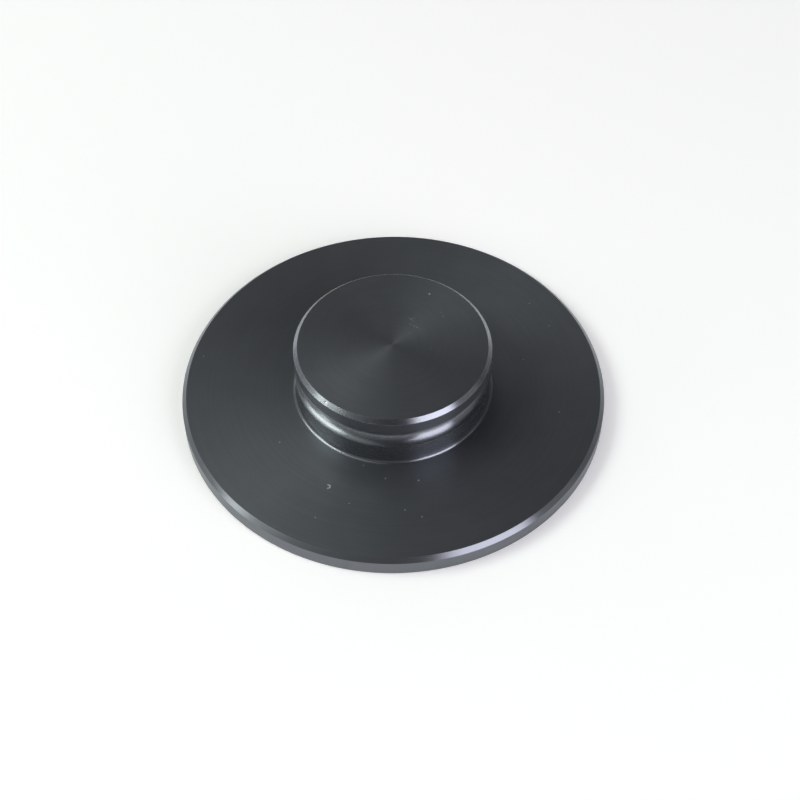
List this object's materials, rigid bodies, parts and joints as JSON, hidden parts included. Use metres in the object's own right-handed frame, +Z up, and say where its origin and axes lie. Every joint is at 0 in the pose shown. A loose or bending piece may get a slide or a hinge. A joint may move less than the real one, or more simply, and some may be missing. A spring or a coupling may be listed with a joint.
{
  "type": "compact disc stabilizer",
  "caption": "Flat turned metal disc with a low central finger knob, a chamfered rim and a grooved grip, that rests on a compact disc and weighs it down.",
  "frame": {"origin": "centre of the flat resting face, on the turning axis", "axes": "+Z up along the turning axis, from the resting face to the top of the knob; the form is the same all round, so X and Y are free"},
  "size_m": [0.08, 0.08, 0.0157],
  "materials": {
    "black_anodised": "black anodised over fine turning marks, satin"
  },
  "bodies": {
    "root": {"stabilizer": "black_anodised"}
  },
  "joints": []
}
